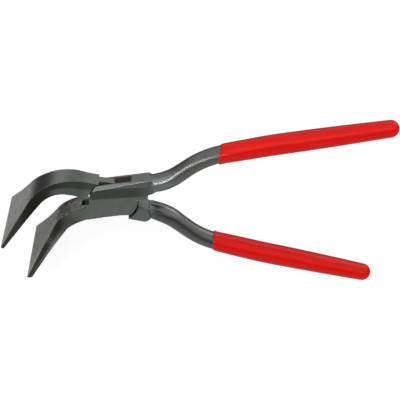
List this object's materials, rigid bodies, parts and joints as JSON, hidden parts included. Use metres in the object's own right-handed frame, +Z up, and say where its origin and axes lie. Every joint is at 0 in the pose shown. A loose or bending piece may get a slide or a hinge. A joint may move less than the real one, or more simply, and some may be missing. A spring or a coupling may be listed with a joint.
{
  "type": "hand seamer",
  "caption": "Bent seaming pliers for sheet-metal roofing: wide flat angled blades, a box joint with a flush rivet, and red dip-coated grips.",
  "frame": {"origin": "centre of the bounding box on the ground plane, with the tool standing on the lower blade's front edge and the lower grip's end", "axes": "+X towards the handles' ends, +Y across the tool along the rivet's axis, +Z up"},
  "size_m": [0.2796, 0.06, 0.1465],
  "materials": {
    "forged_steel": "drop-forged steel, dark grey phosphated and oiled, backs of the blades ground bright",
    "rivet_steel": "steel rivet ground flush with the joint",
    "red_grip": "bright red dip-coated PVC, satin gloss"
  },
  "bodies": {
    "outer": {"outer_half": "forged_steel", "pivot_rivet": "rivet_steel", "upper_grip": "red_grip"},
    "inner": {"inner_half": "forged_steel", "lower_grip": "red_grip"}
  },
  "joints": [
    {"name": "jaw_pivot", "type": "hinge", "parent": "outer", "child": "inner", "pos_m": [-0.0612, 0, 0.05906], "axis": [0, 1, 0], "range_deg": [-21.25, 6]}
  ]
}
